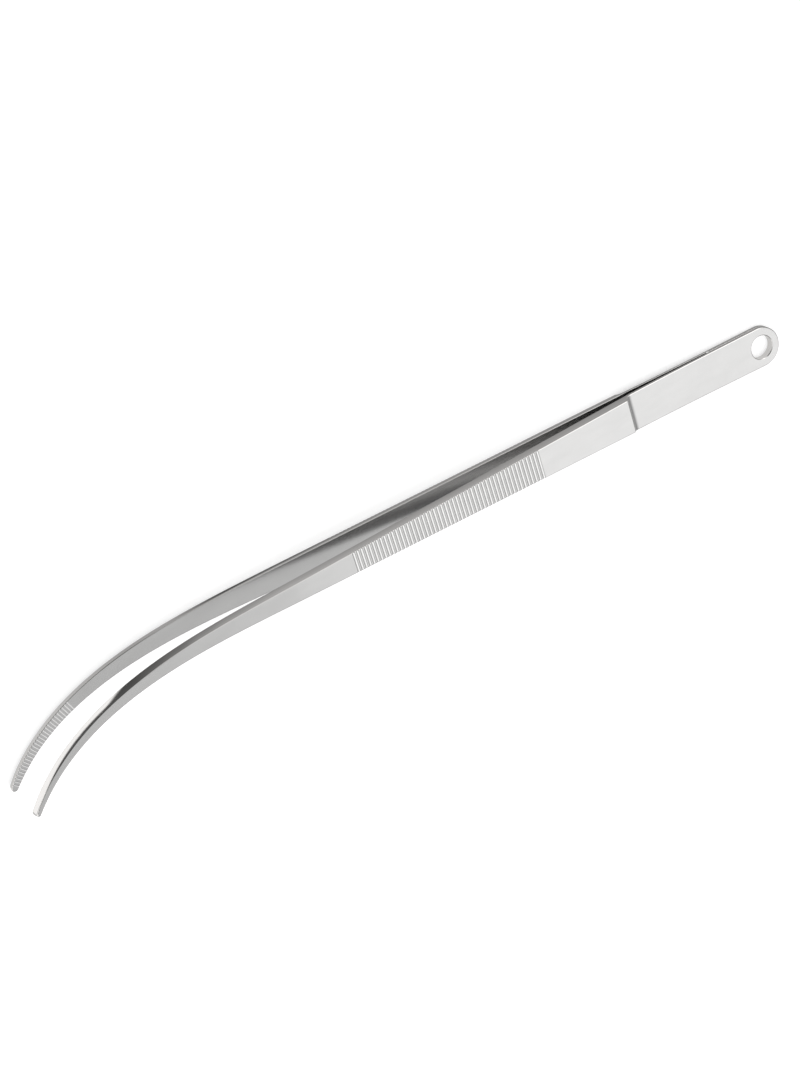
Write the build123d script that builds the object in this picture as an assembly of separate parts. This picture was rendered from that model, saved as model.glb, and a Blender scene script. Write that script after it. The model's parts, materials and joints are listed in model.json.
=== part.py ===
"""Long curved planting tweezers: two sprung steel arms welded together at a drilled head.

The tool is drawn about its middle plane, with the centre of the hanging hole at the origin, X
towards the tips, Z towards the upper arm and Y towards the side that the tips curve to. It is then
laid down, as it lies on a bench: the plain outer face of the lower arm flat on Z = 0, and the
origin under the middle of its bounding box.

Each arm is one strip of steel: a round-ended head plate, a thin leaf that flexes, and a thick
blade with ribs where the fingers press and fine teeth inside the jaw.
"""
from build123d import *
import math
import os

# Driving dimensions, millimetres and degrees
HEAD_RADIUS = 7.0            # round end of the head, about the hanging hole
HOLE_RADIUS = 4.15           # hanging hole
PLATE = 1.5                  # thickness of one head plate
LEAF = 1.1                   # thickness of the springy leaf
ROOT_X = 19.6                # where the slot between the arms starts
STEP_X = 55.0                # shoulder where the leaf becomes the thick blade
SPREAD = 2.33                # angle that each leaf bends away from the middle plane
JAW_SPREAD = 1.76            # the same angle past the start of the curve, eased inwards
BLADE = 3.1                  # thickness of the blade
STEP_HALF_WIDTH = 6.55       # half the width of the blade's inner face at the shoulder
TIP_HALF_WIDTH = 1.25        # the same at the tip
SIDE_BEVEL = 0.6             # how much narrower each side of the blade's outer face is
SHOULDER_RADIUS = 1.8        # hollow fillet at the foot of the shoulder
CENTRE_LENGTH = 299.0        # length along the middle of an arm, hole centre to tip
CURVE_START = 186.0          # length along the arm where the curve starts
TIP_TURN = 51.0              # how far the arm has turned at the tip
CURVE_POWER = 2.4            # the turn grows with this power of the length along the curve
RIB_COUNT = 50               # ribs of the finger grip, on the outer face
RIB_START = 92.4             # first rib
RIB_PITCH = 1.478
RIB_GROOVE = 0.75            # width of the groove between two ribs
RIB_DEPTH = 0.3
TOOTH_COUNT = 28             # cross grooves inside the jaw
TOOTH_PITCH = 1.15
TOOTH_GROOVE = 0.7
TOOTH_DEPTH = 0.2
TOOTH_MARGIN = 2.35          # from the last groove to the tip
BEAD_RADIUS = 0.34           # weld bead at the bottom of the slot

CURVE_SECTIONS = 15          # cross-sections that the curved jaw is lofted through
OVERCUT = 1.0                # how far a cutting tool runs past the face that it cuts

LEAF_RUN = STEP_X - ROOT_X
SPREAD_SLOPE = math.tan(math.radians(SPREAD))
JAW_SLOPE = math.tan(math.radians(JAW_SPREAD))
SLOT_HALF_GAP = PLATE - LEAF
STEP_HEIGHT = SLOT_HALF_GAP + LEAF_RUN * SPREAD_SLOPE / 2


def heading(length):
    """Direction of the arm's middle line in the XY plane, in radians, after this length."""
    part = max(0.0, length - CURVE_START) / (CENTRE_LENGTH - CURVE_START)
    return math.radians(TIP_TURN) * part**CURVE_POWER


def middle(length):
    """Point of the arm's middle line in the XY plane, by adding up short steps of the curve."""
    if length <= CURVE_START:
        return length, 0.0
    steps = 200
    step = (length - CURVE_START) / steps
    turns = [heading(CURVE_START + (i + 0.5) * step) for i in range(steps)]
    x = CURVE_START + step * sum(math.cos(turn) for turn in turns)
    y = step * sum(math.sin(turn) for turn in turns)
    return x, y


def inner_height(x):
    """Height of the blade's inner face above the middle plane."""
    straight = min(x, CURVE_START) - STEP_X
    curved = max(0.0, x - CURVE_START)
    return STEP_HEIGHT + straight * SPREAD_SLOPE + curved * JAW_SLOPE


def half_width(length):
    """Half the width of the inner face: a straight taper from the shoulder to the tip."""
    part = (length - STEP_X) / (CENTRE_LENGTH - STEP_X)
    return STEP_HALF_WIDTH + part * (TIP_HALF_WIDTH - STEP_HALF_WIDTH)


def station(length):
    """Frame across the arm at this length: local X across the arm, local Y up, on the inner face."""
    x, y = middle(length)
    turn = heading(length)
    across = (-math.sin(turn), math.cos(turn), 0)
    back = (-math.cos(turn), -math.sin(turn), 0)
    plane = Plane(origin=(x, y, inner_height(x)), x_dir=across, z_dir=back)
    return plane if plane.y_dir.Z > 0 else Plane(plane.origin, across, (-back[0], -back[1], 0))


def section_corners(length):
    """Corners of the blade's cross-section: wide inner face, narrower outer face, sloping sides."""
    inner = half_width(length)
    outer = inner - SIDE_BEVEL
    frame = station(length)
    return [frame.from_local_coords(at) for at in ((-inner, 0), (inner, 0), (outer, BLADE), (-outer, BLADE))]


def cross_section(length):
    """The blade's cross-section as a face."""
    return make_face(Polyline(*section_corners(length), close=True))


def head_outline():
    """Plan of the head and leaf together: a round end, then sides that draw in to the shoulder."""
    sides = Polyline(
        (0, HEAD_RADIUS), (STEP_X, STEP_HALF_WIDTH), (STEP_X, -STEP_HALF_WIDTH), (0, -HEAD_RADIUS), close=True
    )
    return make_face(sides) + Circle(HEAD_RADIUS)


def head_plate():
    """The flat welded end of an arm, with half the length of the hanging hole through it."""
    plan = head_outline() & Pos((ROOT_X - HEAD_RADIUS) / 2, 0) * Rectangle(ROOT_X + HEAD_RADIUS, 4 * HEAD_RADIUS)
    return extrude(plan - Circle(HOLE_RADIUS), amount=PLATE)


def leaf_edge(height):
    """Side view of one face of the leaf: an arc that leaves the root level and ends at the spread."""
    rise = LEAF_RUN * SPREAD_SLOPE / 2
    start = (ROOT_X, height)
    halfway = (ROOT_X + LEAF_RUN / 2, height + rise / 4)
    end = (STEP_X, height + rise)
    return ThreePointArc(start, halfway, end)


def leaf():
    """The thin sprung part of an arm, from the bottom of the slot to the shoulder."""
    under = leaf_edge(SLOT_HALF_GAP)
    over = leaf_edge(PLATE)
    outline = under + over + Line(under @ 0, over @ 0) + Line(under @ 1, over @ 1)
    side = Plane.XZ * make_face(outline)
    return extrude(side, amount=2 * HEAD_RADIUS, both=True) & extrude(head_outline(), amount=2 * BLADE)


def shoulder():
    """Hollow fillet on the leaf's outer face, at the foot of the blade, and rooted a little way inside it."""
    slope = SPREAD_SLOPE * (1 - SHOULDER_RADIUS / (2 * LEAF_RUN))
    foot = STEP_HEIGHT + LEAF
    middle_x = STEP_X - SHOULDER_RADIUS
    middle_z = foot + SHOULDER_RADIUS * (math.hypot(1, slope) - slope)
    start = math.atan(slope) - math.pi / 2
    heel, waist, top = [
        (middle_x + SHOULDER_RADIUS * math.cos(turn), middle_z + SHOULDER_RADIUS * math.sin(turn))
        for turn in (start, start / 2, 0)
    ]
    inside = STEP_X + OVERCUT
    rest = Polyline(top, (inside, middle_z), (inside, foot + OVERCUT * slope), heel)
    outline = ThreePointArc(heel, waist, top) + rest
    outer = STEP_HALF_WIDTH - SIDE_BEVEL
    return extrude(Plane.XZ * make_face(outline), amount=outer, both=True)


def rib_grooves():
    """Cutting tools for the grooves between the ribs, square to the outer face."""
    half = RIB_GROOVE / 2
    slope = RIB_GROOVE / 5
    profile = Polyline(
        (-half, 0), (-half + slope, -RIB_DEPTH), (half - slope, -RIB_DEPTH), (half, 0),
        (half, OVERCUT), (-half, OVERCUT), close=True,
    )
    tools = []
    for i in range(RIB_COUNT):
        x = RIB_START + i * RIB_PITCH
        at = Plane(origin=(x, 0, inner_height(x) + BLADE), x_dir=(1, 0, SPREAD_SLOPE), z_dir=(0, -1, 0))
        tools.append(extrude(at * make_face(profile), amount=STEP_HALF_WIDTH, both=True))
    return tools


def tooth_grooves():
    """Cutting tools for the cross grooves inside the jaw, square to the arm's middle line."""
    half = TOOTH_GROOVE / 2
    profile = Polyline((-half, -OVERCUT), (-half, 0), (0, TOOTH_DEPTH), (half, 0), (half, -OVERCUT), close=True)
    tools = []
    for i in range(TOOTH_COUNT):
        length = CENTRE_LENGTH - TOOTH_MARGIN - i * TOOTH_PITCH
        frame = station(length)
        turn = heading(length)
        along = (math.cos(turn), math.sin(turn), JAW_SLOPE * math.cos(turn))
        at = Plane(origin=frame.origin, x_dir=along, z_dir=(math.sin(turn), -math.cos(turn), 0))
        tools.append(extrude(at * make_face(profile), amount=2 * half_width(length), both=True))
    return tools


def tip_cutter():
    """What rounds off the tip: a block with a cone taken out, so that the bevel runs round the end."""
    length = CENTRE_LENGTH - TIP_HALF_WIDTH
    x, y = middle(length)
    tall = BLADE + 2 * OVERCUT
    flare = SIDE_BEVEL / BLADE * OVERCUT
    end = Cone(TIP_HALF_WIDTH + flare, TIP_HALF_WIDTH - SIDE_BEVEL - flare, tall)
    reach = 2 * TIP_HALF_WIDTH
    block = Pos(reach / 2, 0) * Box(reach, 2 * reach, tall)
    at = Location((x, y, inner_height(x) + BLADE / 2), (0, 0, math.degrees(heading(length))))
    return at * (block - end)


def grip():
    """The straight part of the blade, closed with flat faces, so that the tool rests flat on one of them."""
    near = section_corners(STEP_X)
    far = section_corners(CURVE_START)
    faces = [cross_section(STEP_X), cross_section(CURVE_START)]
    for i in range(len(near)):
        faces.append(make_face(Polyline(near[i - 1], near[i], far[i], far[i - 1], close=True)))
    return Solid(Shell(faces))


def jaw():
    """The curved part of the blade, lofted through cross-sections to the tip."""
    span = CENTRE_LENGTH - CURVE_START
    lengths = [CURVE_START + span * i / (CURVE_SECTIONS - 1) for i in range(CURVE_SECTIONS)]
    return loft([cross_section(length) for length in lengths])


def blade():
    """The thick part of an arm: a straight ribbed grip, then the curved toothed jaw."""
    ribbed = grip() - rib_grooves()
    toothed = jaw() - ([tip_cutter()] + tooth_grooves())
    return ribbed + toothed + shoulder()


def weld_bead():
    """The bead that closes the bottom of the slot, seen as a bright dot on each side."""
    bead = Plane.XZ * (Pos(ROOT_X, 0) * Circle(BEAD_RADIUS))
    keep = Pos(ROOT_X + HEAD_RADIUS, 0) * Box(2 * HEAD_RADIUS, 4 * HEAD_RADIUS, 2 * PLATE)
    root_half_width = HEAD_RADIUS + ROOT_X / STEP_X * (STEP_HALF_WIDTH - HEAD_RADIUS)
    return extrude(bead, amount=root_half_width, both=True) & keep


def lay_down(pieces):
    """Turn the tool onto the outer face of its lower arm and put the origin under its middle."""
    turned = {name: Rot(0, -SPREAD, 0) * piece for name, piece in pieces.items()}
    boxes = [piece.bounding_box() for piece in turned.values()]
    middle_x = (min(box.min.X for box in boxes) + max(box.max.X for box in boxes)) / 2
    middle_y = (min(box.min.Y for box in boxes) + max(box.max.Y for box in boxes)) / 2
    shift = Pos(-middle_x, -middle_y, -min(box.min.Z for box in boxes))
    return {name: shift * piece for name, piece in turned.items()}, shift * Rot(0, -SPREAD, 0)


def build():
    """All pieces by node name, where they lie, and the placement that laid them down."""
    pieces = {"weld_bead": weld_bead()}
    for name, piece in (("head_plate", head_plate()), ("leaf", leaf()), ("blade", blade())):
        pieces[f"{name}_upper"] = piece
        pieces[f"{name}_lower"] = mirror(piece, about=Plane.XY)
    return lay_down(pieces)


if __name__ == "__main__":
    os.makedirs("parts", exist_ok=True)
    nodes, placement = build()
    for name, piece in nodes.items():
        export_step(piece, f"parts/{name}.step")
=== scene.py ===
"""Long curved planting tweezers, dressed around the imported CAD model.

Each arm is one continuous strip of steel that replaces its three CAD nodes: a round-ended head
plate with a hole, a thin leaf, and a thick blade with ribs outside and teeth inside the jaw. It is
built from cross-sections set along the arm, in the drawing frame of the tool: millimetres, the
centre of the hanging hole at the origin, X to the tips, Y to the side that the tips curve to, and
Z from the plane between the arms towards the arm. The hanging hole's mount then says where the
drawing frame lies in the row frame.
"""

import json
import math

import bmesh
import bpy
from mathutils import Matrix, Vector


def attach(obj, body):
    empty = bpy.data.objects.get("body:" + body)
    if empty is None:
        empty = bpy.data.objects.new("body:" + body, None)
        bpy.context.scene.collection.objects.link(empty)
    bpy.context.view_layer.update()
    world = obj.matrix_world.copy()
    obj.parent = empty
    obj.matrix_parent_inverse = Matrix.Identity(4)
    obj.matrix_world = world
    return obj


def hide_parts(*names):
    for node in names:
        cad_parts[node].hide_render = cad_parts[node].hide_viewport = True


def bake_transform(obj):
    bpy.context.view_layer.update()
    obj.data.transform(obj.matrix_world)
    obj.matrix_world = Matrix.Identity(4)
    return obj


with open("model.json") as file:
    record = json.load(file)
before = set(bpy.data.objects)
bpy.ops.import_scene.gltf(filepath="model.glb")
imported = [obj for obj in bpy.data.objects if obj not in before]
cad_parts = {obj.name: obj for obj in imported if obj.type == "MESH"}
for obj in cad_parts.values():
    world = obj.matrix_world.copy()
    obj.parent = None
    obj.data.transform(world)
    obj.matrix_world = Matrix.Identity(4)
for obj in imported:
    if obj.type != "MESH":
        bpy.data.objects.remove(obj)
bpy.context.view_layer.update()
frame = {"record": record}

MM = 0.001

# ---------------------------------------------------------------- the tool's own sizes, mm
HEAD_RADIUS = 7.0
HOLE_RADIUS = 4.15
PLATE = 1.5
LEAF = 1.1
ROOT_X = 19.6
STEP_X = 55.0
BLADE = 3.1
STEP_HALF_WIDTH = 6.55
TIP_HALF_WIDTH = 1.25
SIDE_SLOPE = 0.6 / BLADE          # how the sides of the blade lean in towards its outer face
FILLET = 1.8                      # height of the hollow at the foot of the shoulder
FILLET_RUN = 2.7                  # its length along the leaf, which runs out softly
LENGTH = 299.0
CURVE_START = 186.0
TIP_TURN = math.radians(51.0)
CURVE_POWER = 2.4
SPREAD_SLOPE = math.tan(math.radians(2.33))
JAW_SLOPE = math.tan(math.radians(1.76))
SLOT_HALF_GAP = PLATE - LEAF
STEP_HEIGHT = SLOT_HALF_GAP + (STEP_X - ROOT_X) * SPREAD_SLOPE / 2
RIB_COUNT = 50
RIB_START = 92.4
RIB_PITCH = 1.478
RIB_GROOVE = 0.80
RIB_DEPTH = 0.34
RIB_EASE = 0.2                    # length over which the plain face runs into the first groove
RIB_DOME = 0.06                   # how far the top of a rib falls off at its edges
TOOTH_COUNT = 28
TOOTH_END = LENGTH - 2.35         # the groove nearest the tip
TOOTH_PITCH = 1.15
TOOTH_GROOVE = 0.5
TOOTH_DEPTH = 0.09

# ---------------------------------------------------------------- how the meshes are divided
EDGE_OUTER = 0.24                 # rounded edges of the blade's outer face
EDGE_INNER = 0.20
EDGE_LEAF = 0.08                  # the crisper edges along the slot between the leaves
EDGE_HEAD = 0.28                  # the softer, buffed edges of head and leaf
EDGE_SEAM = 0.07                  # where the two head plates meet
EDGE_TIP = 0.70                   # the outer edge rounds off more at the very tip
TIP_BLEND = 9.0                   # how far from the end that starts
CROWN = 0.07                      # how much the blade's sides bulge
SUPPORT = 0.03                    # distance of the loops that keep flat faces flat
SUPPORT_SHARE = 0.2               # and its limit on a narrow face, as a share of the half-width
ARC_STEPS = 4                     # faces round a rounded edge
FACE_SHARES = (0.62, 0.22)        # loops on each half of a flat face, as shares of its half-width
SIDE_SHARES = (0.12, 0.3, 0.5, 0.7, 0.88)  # loops down the side, as shares of its height
SWEEP_X = 9.0                     # the faces about the hanging hole end here
HEAD_LOOPS = (SWEEP_X, 12.0, 16.0)
LEAF_LOOPS = 20
SHOULDER_LOOPS = 10
BLADE_LOOPS = (60.0, 70.0, 80.0, 88.0)
AFTER_GRIP_LOOPS = (170.0, 174.0, 178.0, 182.0, CURVE_START)
GROOVE_STEPS = 10
RIB_TOP_SHARES = (-0.55, 0.0, 0.55)
JAW_LOOPS = 40
JAW_END_GAP = 1.0                 # the smooth part of the jaw ends this far before the first tooth
TIP_LOOPS = 9
RIM_RAYS = 56                     # rays from the hole to the head's rim
RIM_SHARES = (0.0, 0.03, 0.25, 0.5, 0.75, 0.97, 1.0)
HOLE_EDGE = 0.3                   # rounded edge of the hanging hole
WELD_TOLERANCE = 0.002            # points closer than this are one point
BEAD_RADIUS = 0.37                # weld run inside the slot
BEAD_DROP_RADIUS = 0.56           # the round drop at each of its ends
BEAD_DROP_LENGTH = 1.2
BEAD_PROUD = 0.15                 # how far the drops stand out of the head's sides
BEAD_FORWARD = 0.05               # how far the run sits out of the slot's bottom
BEAD_LOOPS = 60
BEAD_SIDES = 16
BEAD_LEAST = 0.004                # radius at the very ends
BEAD_RIPPLES = ((0.06, 9.0, 0.0), (0.05, 4.1, 1.0))  # share of the radius, radians per mm, start

# ---------------------------------------------------------------- camera, in the drawing frame
LENS = 129.63                     # with the sensor as wide as the picture
SENSOR = 36.0
CAMERA_AT = Vector((429.38, -410.83, 793.31))
CAMERA_AIM = Vector((145.77, 6.21, 0.0))
CAMERA_ROLL = math.radians(123.40)  # about the line of sight, from level
CLIP = (0.05, 20.0)

# ---------------------------------------------------------------- steel
SATIN_FACES = (0.80, 0.796, 0.79)
SATIN_FLANKS = (0.76, 0.745, 0.73)
SATIN_ROUGHNESS = (0.20, 0.10)    # of faces and flanks
# The weld bead's near-white colour is a painted glint: it makes the bead show as a bright dot.
WELD_GLINT_FACES = (0.93, 0.92, 0.90)
WELD_GLINT_FLANKS = (0.97, 0.965, 0.955)
WELD_ROUGHNESS = (0.30, 0.30)
WELD_GLINT_METALLIC = 0.25              # mostly not metal, so the near-white bead catches the table's light as a bright dot: a painted glint
NOISE_ROUGHNESS = 0.5
GRAIN_FACES = (6.0, 0.35, 0.35)   # noise scale along, across and through the strip: lines across it
GRAIN_FLANKS = (0.25, 7.0, 7.0)   # lines along it
CLOUDS = (0.09, 0.3, 0.3)
CLOUD_DETAIL = 4.0
GRAIN_DETAIL = 3.0
NOISE_MIDDLE = (0.3, 0.7)         # the part of the noise's range that is stretched over each spread
GRAIN_TONE = 0.012
CLOUD_TONE = 0.02
GRAIN_ROUGHNESS = 0.03
BUMP_STRENGTH = 0.12
BUMP_DISTANCE = 0.00001

# ---------------------------------------------------------------- stage, metres in the row frame
SHEET_HALF = 4.0
FLOOR_GREY = 0.62
FLOOR_ROUGHNESS = 0.8
FLOOR_GLOW = 0.46
FILL_POWER = 44.0
FILL_SIZE = 3.0
FILL_HEIGHT = 2.2

# Sky levels over the direction's X, from -1 to 1. The ramp holds levels up to 1; the sky is brighter.
SKY_STOPS = (
    (0.0, 0.12), (0.09, 0.26), (0.17, 0.56), (0.225, 0.76), (0.285, 0.80), (0.33, 0.455), (0.40, 0.40),
    (0.55, 0.42), (0.68, 0.95), (1.0, 0.95),
)
SKY_GAIN = 1.32
SKY_FRONT = 2.6                   # gain on the head's side of the camera, which lights the top edges
SKY_PAST_JAW = 0.2                # gain low past the jaw, which darkens its outer edge
FRONT_Y = (-0.25, -0.55)
FRONT_X = (0.0, -0.2)
PAST_JAW_Y = (-0.55, -0.70)
PAST_JAW_X = (-0.05, 0.05)
BACK_Y = (0.60, 0.85)
BACK_LEVEL = 0.3
DARK_SPOT = Vector((0.34, -0.45, 0.83)).normalized()  # about the camera
DARK_SPOT_EDGE = (0.82, 0.93)
DARK_SPOT_LEVEL = 0.08

# A glowing sheet under the table, seen only in the steel's reflections: painted reflections and painted
# shade. A band is where a zone starts, is full, starts to fade and has gone.
PAINTED_SHEET_HEIGHT = -0.0005
PAINTED_SHEET_SPAN = (-0.2, 0.2)
PAINTED_REFLECTION_STOPS = (
    (0.0, 0.46), (0.60, 0.42), (0.655, 0.34), (0.6825, 0.27), (0.7125, 0.18), (0.745, 0.12), (0.775, 0.08),
    (1.0, 0.08),
)
PAINTED_NEAR_Y = (-0.045, -0.022)    # the painted reflection is brighter out towards the camera
PAINTED_NEAR_LEVELS = (1.25, 0.8)
PAINTED_BACK_Y = (0.015, 0.040)      # and on the far side of the tool
PAINTED_BACK_LEVEL = 2.2
WHITE_LEVEL = 1.17
WHITE_X = (0.116, 0.124)          # where the painted white reflection starts, at the middle of its slanting edge
WHITE_SLANT_Y = (-0.050, -0.026)
WHITE_SLANT = (-0.014, 0.008)
WHITE_SIDE_Y = (-0.047, -0.042)   # its edge towards the camera, which draws away along the jaw
WHITE_SIDE_X = (0.112, 0.172)
WHITE_SIDE_DRIFT = -0.021
FAR_X = (0.035, 0.060)            # the painted reflection that the lower jaw's side mirrors
FAR_Y = (-0.024, -0.019)
FAR_LINE_X = (0.122, 0.170)
FAR_LINE_DRIFT = -0.036
FAR_FADE_X = (0.100, 0.135)
FAR_LEVELS = (0.42, 0.68)
# painted shade close under the tool, as the steel mirrors it
UNDER_X = (-0.123, -0.119, 0.060, 0.085)
UNDER_Y = (-0.0152, -0.0137, -0.002, 0.012)
PAINTED_SHADE_LEVEL = 0.08
HEAD_END_X = (-0.1475, -0.1505)   # painted shade just past the head's round end, which the head's side mirrors as a dark glint
HEAD_END_Y = (-0.022, -0.019, -0.012, -0.009)
HOLE_X = (-0.149, -0.147, -0.138, -0.134)
HOLE_Y = (-0.0165, -0.0145, -0.0065, -0.0045)
PAINTED_HOLE_LIGHT = 0.72                 # painted light, where light would come through the hanging hole


def heading(length):
    part = max(0.0, length - CURVE_START) / (LENGTH - CURVE_START)
    return TIP_TURN * part ** CURVE_POWER


def middle(length):
    """Point of the arm's middle line in plan, by adding up short steps of the curve."""
    if length <= CURVE_START:
        return length, 0.0
    steps = 200
    step = (length - CURVE_START) / steps
    turns = [heading(CURVE_START + (i + 0.5) * step) for i in range(steps)]
    return CURVE_START + step * sum(map(math.cos, turns)), step * sum(map(math.sin, turns))


def inner_height(x):
    """Height of the arm's inner face above the plane between the arms."""
    if x <= ROOT_X:
        return 0.0
    if x <= STEP_X:
        return SLOT_HALF_GAP + SPREAD_SLOPE * (x - ROOT_X) ** 2 / (2 * (STEP_X - ROOT_X))
    return STEP_HEIGHT + (min(x, CURVE_START) - STEP_X) * SPREAD_SLOPE + max(0.0, x - CURVE_START) * JAW_SLOPE


def head_half_width(x):
    return HEAD_RADIUS + x / STEP_X * (STEP_HALF_WIDTH - HEAD_RADIUS)


def blade_half_width(length):
    part = (length - STEP_X) / (LENGTH - STEP_X)
    return STEP_HALF_WIDTH + part * (TIP_HALF_WIDTH - STEP_HALF_WIDTH)


def across(edge):
    """Places of the points across a flat face, from one rounded edge to the other."""
    half = [edge, edge - min(SUPPORT, SUPPORT_SHARE * edge)] + [share * edge for share in FACE_SHARES]
    return [-place for place in half] + half[::-1]


def side_profile(width, slope, floor, top, outer, inner):
    """One side of a cross-section, from the outer face's edge to the inner face's, as (across, height)."""
    stretch = math.sqrt(1 + slope * slope)
    lean = math.atan(slope)
    points = []
    centre = width - slope * (top - outer) - outer * stretch
    for i in range(ARC_STEPS + 1):
        turn = math.pi / 2 + (lean - math.pi / 2) * i / ARC_STEPS
        points.append((centre + outer * math.cos(turn), top - outer + outer * math.sin(turn)))
    centre = width - slope * (floor + inner) - inner * stretch
    foot = []
    for i in range(ARC_STEPS + 1):
        turn = lean + (-math.pi / 2 - lean) * i / ARC_STEPS
        foot.append((centre + inner * math.cos(turn), floor + inner + inner * math.sin(turn)))
    (ax, ah), (bx, bh) = points[-1], foot[0]
    bulge = CROWN * (ah - bh) / BLADE * slope / SIDE_SLOPE
    for share in SIDE_SHARES:
        out = 4 * bulge * share * (1 - share)
        points.append((ax + (bx - ax) * share + out, ah + (bh - ah) * share))
    return points + foot


class Arm:
    """The mesh of one arm while it is put together, with where each point lies on the strip."""

    def __init__(self):
        self.mesh = bmesh.new()
        self.lay = self.mesh.verts.layers.float_vector.new("strip")
        self.side = self.mesh.verts.layers.float.new("flank")

    def point(self, length, offset, height, forward, flank):
        """A point by its place on the strip: length along, offset across, height over the inner face."""
        x, y = middle(length)
        turn = heading(length)
        px = x + forward * math.cos(turn) - offset * math.sin(turn)
        py = y + forward * math.sin(turn) + offset * math.cos(turn)
        base = inner_height(x + forward * math.cos(turn))
        vert = self.mesh.verts.new((px, py, base + height))
        vert[self.lay] = (length + forward, offset, height)
        vert[self.side] = flank
        return vert

    def ring(self, length, width, slope, floor, top, outer, inner, phi=0.0, base=None):
        """One closed loop of points round the arm. phi turns it about the middle of the round tip."""
        cos, sin = math.cos(phi), math.sin(phi)
        profile = side_profile(width, slope, floor, top, outer, inner)
        loop = []

        def add(offset, height, reach, flank):
            loop.append(self.point(length, offset * cos, height, reach * sin, flank))

        edge = profile[0][0]
        for offset in across(edge):
            add(offset, top, edge, 0.0)
        for offset, height in profile[1:-1]:
            add(offset, height, offset, 1.0)
        edge = profile[-1][0]
        for offset in reversed(across(edge)):
            add(offset, floor, edge, 0.0)
        for offset, height in reversed(profile[1:-1]):
            add(-offset, height, offset, 1.0)
        if base is not None:
            shift = base - inner_height(middle(length)[0])
            for vert in loop:
                vert.co.z += shift
        return loop

    def quad(self, *corners):
        self.mesh.faces.new(corners)

    def skin(self, rings):
        for one, two in zip(rings, rings[1:]):
            count = len(one)
            for i in range(count):
                j = (i + 1) % count
                self.quad(one[i], one[j], two[j], two[i])


def head_rings(arm):
    """Sections from the face ring about the hole to the shoulder: flat plate, slot bottom, sprung leaf."""
    rings = []
    for x in (*HEAD_LOOPS, ROOT_X - SUPPORT, ROOT_X):
        rings.append(arm.ring(x, head_half_width(x), 0.0, 0.0, PLATE, EDGE_HEAD, EDGE_SEAM, base=0.0))
    width = head_half_width(ROOT_X)
    rings.append(arm.ring(ROOT_X, width, 0.0, 0.0, LEAF, EDGE_HEAD, EDGE_SEAM, base=SLOT_HALF_GAP))
    for i in range(LEAF_LOOPS + 1):
        x = ROOT_X + SUPPORT + (STEP_X - FILLET_RUN - ROOT_X - SUPPORT) * i / LEAF_LOOPS
        rings.append(arm.ring(x, head_half_width(x), 0.0, 0.0, LEAF, EDGE_HEAD, EDGE_LEAF))
    return rings


def shoulder_rings(arm):
    """The hollow fillet, the wall and the rounded top edge where the leaf becomes the blade."""
    rings = []
    for i in range(1, SHOULDER_LOOPS + 1):
        turn = math.pi / 2 * i / SHOULDER_LOOPS
        share = math.sin(turn)
        x = STEP_X - FILLET_RUN + FILLET_RUN * math.sin(turn)
        top = LEAF + FILLET * (1 - math.cos(turn))
        edge = EDGE_HEAD + (EDGE_OUTER - EDGE_HEAD) * share
        inner = EDGE_LEAF + (EDGE_INNER - EDGE_LEAF) * share
        rings.append(arm.ring(x, head_half_width(x), SIDE_SLOPE * share, 0.0, top, edge, inner))
    for top in (BLADE - EDGE_OUTER - SUPPORT, BLADE - EDGE_OUTER):
        rings.append(arm.ring(STEP_X, STEP_HALF_WIDTH, SIDE_SLOPE, 0.0, top, EDGE_OUTER, EDGE_INNER))
    for i in range(1, ARC_STEPS + 1):
        turn = math.pi / 2 * i / ARC_STEPS
        x = STEP_X + EDGE_OUTER * (1 - math.cos(turn))
        top = BLADE - EDGE_OUTER * (1 - math.sin(turn))
        rings.append(arm.ring(x, blade_half_width(x), SIDE_SLOPE, 0.0, top, EDGE_OUTER, EDGE_INNER))
    return rings


def blade_ring(arm, length, floor=0.0, top=BLADE, phi=0.0):
    near_tip = min(1.0, max(0.0, (length - LENGTH + TIP_BLEND) / (TIP_BLEND - TIP_HALF_WIDTH)))
    outer = EDGE_OUTER + (EDGE_TIP - EDGE_OUTER) * near_tip ** 2
    inner = EDGE_INNER + (EDGE_TIP / 2 - EDGE_INNER) * near_tip ** 2
    return arm.ring(length, blade_half_width(length), SIDE_SLOPE, floor, top, outer, inner, phi)


def groove_profile():
    """Depth of the ribbed face across one round groove, as (place along the arm, depth)."""
    shares = [i / GROOVE_STEPS for i in range(GROOVE_STEPS + 1)]
    swell = RIB_DEPTH - RIB_DOME
    return [
        (RIB_GROOVE * (share - 0.5), RIB_DOME + swell * (1 - math.cos(2 * math.pi * share)) / 2)
        for share in shares
    ]


def rib_top_profile():
    """The same across the slightly domed top of the rib after the groove."""
    land = RIB_PITCH / 2 - RIB_GROOVE / 2
    return [(RIB_PITCH / 2 + land * share, RIB_DOME * share * share) for share in RIB_TOP_SHARES]


def grip_rings(arm):
    """The flat start of the blade, then the ribs that the fingers press on."""
    rings = [blade_ring(arm, x) for x in (STEP_X + EDGE_OUTER + SUPPORT, *BLADE_LOOPS)]
    first = RIB_START - RIB_GROOVE / 2 - RIB_EASE
    rings += [blade_ring(arm, first - SUPPORT), blade_ring(arm, first)]
    for i in range(RIB_COUNT):
        profile = groove_profile()
        if i < RIB_COUNT - 1:
            profile += rib_top_profile()
        for shift, depth in profile:
            rings.append(blade_ring(arm, RIB_START + i * RIB_PITCH + shift, top=BLADE - depth))
    last = RIB_START + (RIB_COUNT - 1) * RIB_PITCH + RIB_GROOVE / 2 + RIB_EASE
    rings += [blade_ring(arm, x) for x in (last, last + SUPPORT, *AFTER_GRIP_LOOPS)]
    return rings


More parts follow.
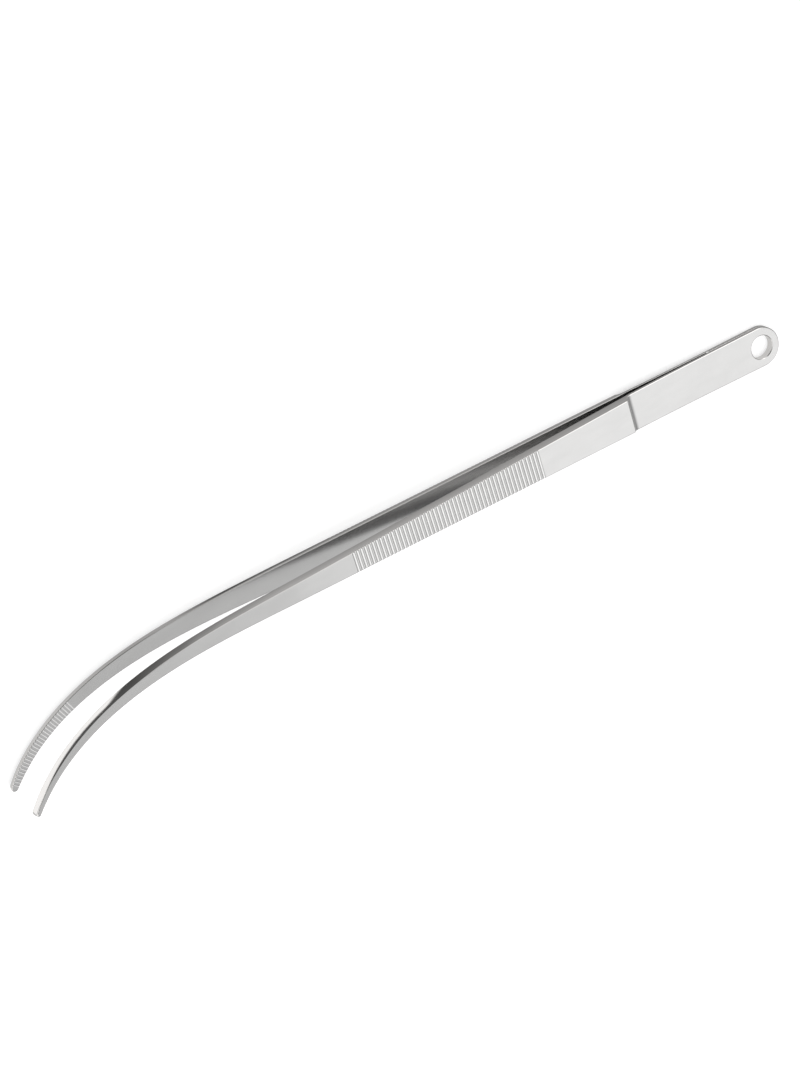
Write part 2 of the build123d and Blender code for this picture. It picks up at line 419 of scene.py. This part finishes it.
def jaw_rings(arm, last):
    """The curved jaw: smooth first, then the fine teeth on its inner face."""
    half = TOOTH_GROOVE / 2
    first_tooth = TOOTH_END - (TOOTH_COUNT - 1) * TOOTH_PITCH
    smooth = first_tooth - JAW_END_GAP - CURVE_START
    rings = [blade_ring(arm, CURVE_START + smooth * i / JAW_LOOPS) for i in range(1, JAW_LOOPS + 1)]
    outside = [(-half - SUPPORT, 0.0), (-half, 0.0)]
    bottom = [(-SUPPORT, TOOTH_DEPTH), (SUPPORT, TOOTH_DEPTH)]
    profile = outside + bottom + [(half, 0.0), (half + SUPPORT, 0.0)]
    for i in range(TOOTH_COUNT):
        for shift, depth in profile:
            rings.append(blade_ring(arm, first_tooth + i * TOOTH_PITCH + shift, floor=depth))
    rings.append(blade_ring(arm, last))
    return rings


def tip_rings(arm, last):
    """The round end: the last section, turned about its middle a quarter way round on both sides."""
    return [blade_ring(arm, last, phi=math.pi / 2 * i / TIP_LOOPS) for i in range(1, TIP_LOOPS + 1)]


def rim_point(angle):
    """Where a ray from the hole's centre meets the head's outline, and the outline's outward direction."""
    cos, sin = math.cos(angle), math.sin(angle)
    if cos <= 0:
        return HEAD_RADIUS * cos, HEAD_RADIUS * sin, cos, sin
    drop = (HEAD_RADIUS - STEP_HALF_WIDTH) / STEP_X
    reach = HEAD_RADIUS / (abs(sin) + drop * cos)
    return reach * cos, reach * sin, 0.0, math.copysign(1.0, sin)


def head_ring(arm):
    """The faces about the hanging hole, as rays that run from the hole out to the head's rim."""
    width = head_half_width(SWEEP_X)
    profile = side_profile(width, 0.0, 0.0, PLATE, EDGE_HEAD, EDGE_SEAM)
    corner = math.atan2(width, SWEEP_X)

    def vert(x, y, z, flank=0.0):
        made = arm.mesh.verts.new((x, y, z))
        made[arm.lay] = (x, y, z)
        made[arm.side] = flank
        return made

    def radial(target, z, start):
        angle = math.atan2(target[1], target[0])
        sx, sy = start * math.cos(angle), start * math.sin(angle)
        return [vert(sx + (target[0] - sx) * s, sy + (target[1] - sy) * s, z) for s in RIM_SHARES]

    def bore(target):
        angle = math.atan2(target[1], target[0])
        places = [(HOLE_RADIUS, z) for z in (0.0, SUPPORT, PLATE - HOLE_EDGE - SUPPORT)]
        for i in range(ARC_STEPS):
            turn = math.pi - math.pi / 2 * i / ARC_STEPS
            reach = HOLE_RADIUS + HOLE_EDGE + HOLE_EDGE * math.cos(turn)
            places.append((reach, PLATE - HOLE_EDGE + HOLE_EDGE * math.sin(turn)))
        return [vert(reach * math.cos(angle), reach * math.sin(angle), z, 1.0) for reach, z in places]

    def ray(outer, inner, side):
        """Points over the plate, under it, up the hole's wall between them, and down the head's side."""
        over = radial(outer, PLATE, HOLE_RADIUS + HOLE_EDGE)
        under = radial(inner, 0.0, HOLE_RADIUS)
        return over, under, bore(outer), [vert(*place, 1.0) for place in side]

    rays = []
    for i in range(RIM_RAYS + 1):
        angle = corner + (2 * math.pi - 2 * corner) * i / RIM_RAYS
        x, y, nx, ny = rim_point(angle)
        side = [(x - nx * (width - reach), y - ny * (width - reach), z) for reach, z in profile]
        rays.append(ray(side[0], side[-1], side[1:-1]))
    rows = list(zip(across(profile[0][0]), across(profile[-1][0])))
    for outer_y, inner_y in rows[1:-1]:
        rays.append(ray((SWEEP_X, outer_y), (SWEEP_X, inner_y), []))
    for one, two in zip(rays, rays[1:] + rays[:1]):
        chains = [(one[0], two[0]), (one[1], two[1])]
        chains.append([[ends[1][0]] + ends[2] + [ends[0][0]] for ends in (one, two)])
        if one[3] and two[3]:
            chains.append([[ends[0][-1]] + ends[3] + [ends[1][-1]] for ends in (one, two)])
        for a, b in chains:
            for k in range(len(a) - 1):
                arm.quad(a[k], a[k + 1], b[k + 1], b[k])


def finish_mesh(mesh, name):
    """Put a mesh drawn in millimetres into the row frame, as a smooth object of the scene."""
    bmesh.ops.transform(mesh, matrix=PLACE, verts=mesh.verts)
    bmesh.ops.recalc_face_normals(mesh, faces=mesh.faces)
    for face in mesh.faces:
        face.smooth = True
    data = bpy.data.meshes.new(name)
    mesh.to_mesh(data)
    mesh.free()
    made = bpy.data.objects.new(name, data)
    bpy.context.scene.collection.objects.link(made)
    return made


def build_arm(name, mirrored):
    arm = Arm()
    last = LENGTH - blade_half_width(LENGTH - TIP_HALF_WIDTH)
    head_ring(arm)
    rings = head_rings(arm) + shoulder_rings(arm) + grip_rings(arm)
    arm.skin(rings + jaw_rings(arm, last) + tip_rings(arm, last))
    mesh = arm.mesh
    bmesh.ops.remove_doubles(mesh, verts=mesh.verts, dist=WELD_TOLERANCE)
    if mirrored:
        bmesh.ops.transform(mesh, matrix=Matrix.Scale(-1, 4, (0, 0, 1)), verts=mesh.verts)
    return finish_mesh(mesh, name)


def build_bead():
    """The weld metal across the bottom of the slot: an uneven run that ends in a round drop each side."""
    mesh = bmesh.new()
    strip = mesh.verts.layers.float_vector.new("strip")
    flank = mesh.verts.layers.float.new("flank")
    reach = head_half_width(ROOT_X) + BEAD_PROUD
    rings = []
    for i in range(BEAD_LOOPS + 1):
        along = -reach + 2 * reach * i / BEAD_LOOPS
        from_end = reach - abs(along)
        cap = math.sqrt(max(0.0, 1 - max(0.0, 1 - from_end / BEAD_RADIUS) ** 2))
        drop = max(0.0, 1 - from_end / BEAD_DROP_LENGTH)
        waves = [size * (1 + math.sin(along * rate + start)) / 2 for size, rate, start in BEAD_RIPPLES]
        swollen = BEAD_RADIUS + (BEAD_DROP_RADIUS - BEAD_RADIUS) * drop
        radius = max(BEAD_LEAST, swollen * cap * (1 - sum(waves)))
        ring = []
        for k in range(BEAD_SIDES):
            turn = 2 * math.pi * k / BEAD_SIDES
            x, z = ROOT_X + radius * math.cos(turn), radius * math.sin(turn)
            vert = mesh.verts.new((x + BEAD_FORWARD, along, z))
            vert[strip] = (x, along, z)
            vert[flank] = 1.0
            ring.append(vert)
        rings.append(ring)
    for one, two in zip(rings, rings[1:]):
        for k in range(BEAD_SIDES):
            j = (k + 1) % BEAD_SIDES
            mesh.faces.new((one[k], one[j], two[j], two[k]))
    mesh.faces.new(rings[0])
    mesh.faces.new(rings[-1])
    return finish_mesh(mesh, "weld_run")


def add_camera():
    data = bpy.data.cameras.new("camera")
    data.sensor_fit = "HORIZONTAL"
    data.sensor_width = SENSOR
    data.lens = LENS
    data.clip_start, data.clip_end = CLIP
    camera = bpy.data.objects.new("camera", data)
    look = (CAMERA_AIM - CAMERA_AT).to_track_quat("-Z", "Y").to_matrix().to_4x4()
    look @= Matrix.Rotation(CAMERA_ROLL, 4, "Z")
    camera.matrix_world = Matrix.Translation(PLACE @ CAMERA_AT) @ turned @ look
    bpy.context.scene.collection.objects.link(camera)
    bpy.context.scene.camera = camera


class Nodes:
    """A shader tree, with one short call for each kind of step in it."""

    def __init__(self, tree):
        self.tree = tree

    def feed(self, socket, value):
        """Link a node's output to a socket, or set the socket to a constant."""
        if isinstance(value, bpy.types.NodeSocket):
            self.tree.links.new(value, socket)
        else:
            socket.default_value = value

    def add(self, kind, inputs, output, **settings):
        """The named output of a new node, with its own settings and its inputs fed by name or number."""
        made = self.tree.nodes.new(kind)
        for key, value in settings.items():
            setattr(made, key, value)
        for key, value in inputs.items():
            self.feed(made.inputs[key], value)
        return made.outputs[output]

    def combine(self, operation, one, two):
        return self.add("ShaderNodeMath", {0: one, 1: two}, "Value", operation=operation)

    def multiply(self, one, two):
        return self.combine("MULTIPLY", one, two)

    def mix(self, factor, one, two):
        return self.add("ShaderNodeMix", {"Factor": factor, "A": one, "B": two}, "Result")

    def stretch(self, value, between, levels=(0.0, 1.0)):
        """The value carried straight from one range to another, and held at its ends."""
        ends = {"From Min": between[0], "From Max": between[1], "To Min": levels[0], "To Max": levels[1]}
        return self.add("ShaderNodeMapRange", {"Value": value, **ends}, "Result")

    def ease(self, value, between, levels=(0.0, 1.0)):
        """The same, eased in and out."""
        made = self.stretch(value, between, levels)
        made.node.interpolation_type = "SMOOTHSTEP"
        return made

    def band(self, value, stops):
        """1 inside a stretch of the value, eased to 0 at both ends."""
        return self.multiply(self.ease(value, stops[:2]), self.ease(value, stops[2:], (1.0, 0.0)))

    def zone(self, x, y, x_stops, y_stops):
        return self.multiply(self.band(x, x_stops), self.band(y, y_stops))

    def split(self, vector):
        made = self.add("ShaderNodeSeparateXYZ", {"Vector": vector}, "X").node
        return made.outputs["X"], made.outputs["Y"]

    def ramp(self, value, stops):
        """Grey levels over a value from 0 to 1, eased between the stops."""
        made = self.add("ShaderNodeValToRGB", {"Fac": value}, "Color")
        levels = made.node.color_ramp
        levels.interpolation = "EASE"
        while len(levels.elements) < len(stops):
            levels.elements.new(0.5)
        for element, (place, level) in zip(levels.elements, stops):
            element.position = place
            element.color = (level, level, level, 1)
        return made

    def noise(self, vector, scale, detail):
        scaled = self.add("ShaderNodeMapping", {"Vector": vector, "Scale": scale}, "Vector")
        settings = {"Vector": scaled, "Scale": 1.0, "Detail": detail, "Roughness": NOISE_ROUGHNESS}
        return self.add("ShaderNodeTexNoise", settings, "Fac")


def new_material(name):
    made = bpy.data.materials.new(name)
    made.use_nodes = True
    return made, Nodes(made.node_tree), made.node_tree.nodes["Principled BSDF"]


def steel(name, faces, flanks, face_roughness, flank_roughness, metallic=1.0):
    """Satin steel: fine grain across the strip on the faces, polished grain along it on the flanks."""
    made, nodes, shader = new_material(name)
    shader.inputs["Metallic"].default_value = metallic
    strip = nodes.add("ShaderNodeAttribute", {}, "Vector", attribute_name="strip")
    flank = nodes.add("ShaderNodeAttribute", {}, "Fac", attribute_name="flank")
    grain_faces = nodes.noise(strip, GRAIN_FACES, GRAIN_DETAIL)
    grain_flanks = nodes.noise(strip, GRAIN_FLANKS, GRAIN_DETAIL)
    clouds = nodes.noise(strip, CLOUDS, CLOUD_DETAIL)
    grain = nodes.mix(flank, grain_faces, grain_flanks)

    def spread(value, size):
        return nodes.stretch(value, NOISE_MIDDLE, (-size, size))

    tone = nodes.combine("ADD", spread(grain, GRAIN_TONE), spread(clouds, CLOUD_TONE))
    bright = nodes.combine("ADD", tone, 1.0)
    ends = {"Factor": flank, "A": (*faces, 1), "B": (*flanks, 1)}
    colour = nodes.add("ShaderNodeMix", ends, "Result", data_type="RGBA")
    shade = nodes.add("ShaderNodeVectorMath", {0: colour, "Scale": bright}, "Vector", operation="SCALE")
    nodes.feed(shader.inputs["Base Color"], shade)
    rough = nodes.mix(flank, face_roughness, flank_roughness)
    nodes.feed(shader.inputs["Roughness"], nodes.combine("ADD", rough, spread(grain, GRAIN_ROUGHNESS)))
    relief = {"Strength": BUMP_STRENGTH, "Distance": BUMP_DISTANCE, "Height": grain}
    nodes.feed(shader.inputs["Normal"], nodes.add("ShaderNodeBump", relief, "Normal"))
    return made


def add_sheet(name, height):
    """A wide level sheet of the stage."""
    data = bpy.data.meshes.new(name)
    half = SHEET_HALF
    corners = [(-half, -half, height), (half, -half, height), (half, half, height), (-half, half, height)]
    data.from_pydata(corners, [], [(0, 1, 2, 3)])
    made = bpy.data.objects.new(name, data)
    bpy.context.scene.collection.objects.link(made)
    return made


def add_floor():
    """A pale light table, which keeps the shadows soft. The steel mirrors the painted reflection sheet below
    instead.
    """
    floor = add_sheet("floor", 0.0)
    made, _, shader = new_material("floor")
    shader.inputs["Base Color"].default_value = (FLOOR_GREY, FLOOR_GREY, FLOOR_GREY, 1)
    shader.inputs["Roughness"].default_value = FLOOR_ROUGHNESS
    shader.inputs["Specular IOR Level"].default_value = 0.0
    shader.inputs["Emission Color"].default_value = (1, 1, 1, 1)
    shader.inputs["Emission Strength"].default_value = FLOOR_GLOW
    floor.data.materials.append(made)
    floor.visible_glossy = False


def painted_reflection_level(nodes, x, y):
    """Brightness of the painted reflection sheet at a place on it."""
    level = nodes.ramp(nodes.stretch(x, PAINTED_SHEET_SPAN), PAINTED_REFLECTION_STOPS)
    level = nodes.multiply(level, nodes.stretch(y, PAINTED_NEAR_Y, PAINTED_NEAR_LEVELS))
    level = nodes.multiply(level, nodes.stretch(y, PAINTED_BACK_Y, (1.0, PAINTED_BACK_LEVEL)))
    slant = nodes.combine("ADD", x, nodes.stretch(y, WHITE_SLANT_Y, WHITE_SLANT))
    beside = nodes.combine("ADD", y, nodes.stretch(x, WHITE_SIDE_X, (0.0, WHITE_SIDE_DRIFT)))
    white = nodes.multiply(nodes.ease(slant, WHITE_X), nodes.stretch(beside, WHITE_SIDE_Y))
    level = nodes.mix(white, level, WHITE_LEVEL)
    past_line = nodes.combine("ADD", y, nodes.stretch(x, FAR_LINE_X, (0.0, FAR_LINE_DRIFT)))
    far = nodes.multiply(nodes.ease(x, FAR_X), nodes.ease(past_line, FAR_Y))
    level = nodes.mix(far, level, nodes.stretch(x, FAR_FADE_X, FAR_LEVELS))
    # painted shade close under the tool
    level = nodes.mix(nodes.zone(x, y, UNDER_X, UNDER_Y), level, PAINTED_SHADE_LEVEL)
    # painted shade past the head's round end
    head_end = nodes.multiply(nodes.ease(x, HEAD_END_X), nodes.band(y, HEAD_END_Y))
    level = nodes.mix(head_end, level, PAINTED_SHADE_LEVEL)
    # painted light under the hanging hole
    return nodes.mix(nodes.zone(x, y, HOLE_X, HOLE_Y), level, PAINTED_HOLE_LIGHT)


def add_painted_reflection_sheet():
    """What the steel mirrors from below, painted on a glowing sheet: a painted grey reflection that darkens
    along the jaw, then painted white past it.

    It has painted shade close under the tool, and painted light where light would come through the hanging
    hole.
    """
    sheet = add_sheet("painted_reflection_sheet", PAINTED_SHEET_HEIGHT)
    for key in ("camera", "diffuse", "transmission", "volume_scatter", "shadow"):
        setattr(sheet, f"visible_{key}", False)
    made = bpy.data.materials.new("painted_reflection_sheet")
    made.use_nodes = True
    made.node_tree.nodes.clear()
    nodes = Nodes(made.node_tree)
    x, y = nodes.split(nodes.add("ShaderNodeNewGeometry", {}, "Position"))
    # the emission paints the reflections and the shade; this sheet is no lamp
    light = nodes.add("ShaderNodeEmission", {"Color": painted_reflection_level(nodes, x, y)}, "Emission")
    out = made.node_tree.nodes.new("ShaderNodeOutputMaterial")
    nodes.feed(out.inputs["Surface"], light)
    sheet.data.materials.append(made)


def add_world():
    """Soft light all round: bright over the head and low past the tips, dim between, dark at the camera."""
    world = bpy.data.worlds.new("studio")
    bpy.context.scene.world = world
    world.use_nodes = True
    nodes = Nodes(world.node_tree)
    toward = nodes.add("ShaderNodeTexCoord", {}, "Generated")
    x, y = nodes.split(toward)
    level = nodes.ramp(nodes.stretch(x, (-1.0, 1.0)), SKY_STOPS)
    facing = nodes.add("ShaderNodeVectorMath", {0: toward, 1: DARK_SPOT}, "Value", operation="DOT_PRODUCT")
    spot = nodes.ease(facing, DARK_SPOT_EDGE, (1.0, DARK_SPOT_LEVEL))
    back = nodes.ease(y, BACK_Y, (1.0, BACK_LEVEL))
    front = nodes.multiply(nodes.ease(y, FRONT_Y), nodes.ease(x, FRONT_X))
    past_jaw = nodes.multiply(nodes.ease(y, PAST_JAW_Y), nodes.ease(x, PAST_JAW_X))
    gain = nodes.mix(past_jaw, nodes.mix(front, SKY_GAIN, SKY_FRONT), SKY_PAST_JAW)
    level = nodes.multiply(nodes.multiply(level, back), nodes.multiply(spot, gain))
    nodes.feed(world.node_tree.nodes["Background"].inputs["Color"], level)


def add_fill():
    """A broad lamp overhead that lights the table and stays out of the steel."""
    data = bpy.data.lights.new("fill", "AREA")
    data.shape = "SQUARE"
    data.size = FILL_SIZE
    data.energy = FILL_POWER
    light = bpy.data.objects.new("fill", data)
    light.location = (0.0, 0.0, FILL_HEIGHT)
    light.visible_glossy = False
    bpy.context.scene.collection.objects.link(light)


# ---------------------------------------------------------------- the drawing frame in the row frame
hole = next(mount for mount in frame["record"]["mounts"] if mount["name"] == "hang_hole")
up = Vector(hole["axis"]).normalized()
side = Vector((0, 1, 0))
turned = Matrix((side.cross(up), side, up)).transposed().to_4x4()
PLACE = Matrix.Translation(hole["pos_m"]) @ turned @ Matrix.Scale(MM, 4)

# ---------------------------------------------------------------- the pieces
satin = steel("satin_steel", SATIN_FACES, SATIN_FLANKS, *SATIN_ROUGHNESS)
for name, mirrored, body in (("arm_upper", False, "upper_arm"), ("arm_lower", True, "lower_arm")):
    made = build_arm(name, mirrored)
    made.data.materials.append(satin)
    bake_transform(made)
    suffix = name.split("_")[1]
    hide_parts(f"head_plate_{suffix}", f"leaf_{suffix}", f"blade_{suffix}")
bead = build_bead()
# near-white and mostly not metal: a painted glint on the weld bead
weld = steel("weld_steel", WELD_GLINT_FACES, WELD_GLINT_FLANKS, *WELD_ROUGHNESS, metallic=WELD_GLINT_METALLIC)
bead.data.materials.append(weld)
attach(bead, "head")
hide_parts("weld_bead")

# ---------------------------------------------------------------- camera, floor and light
add_camera()
add_floor()
add_painted_reflection_sheet()
add_world()
add_fill()
bpy.context.scene.view_settings.view_transform = "Standard"

# ---------------------------------------------------------------- the end
bpy.context.view_layer.update()
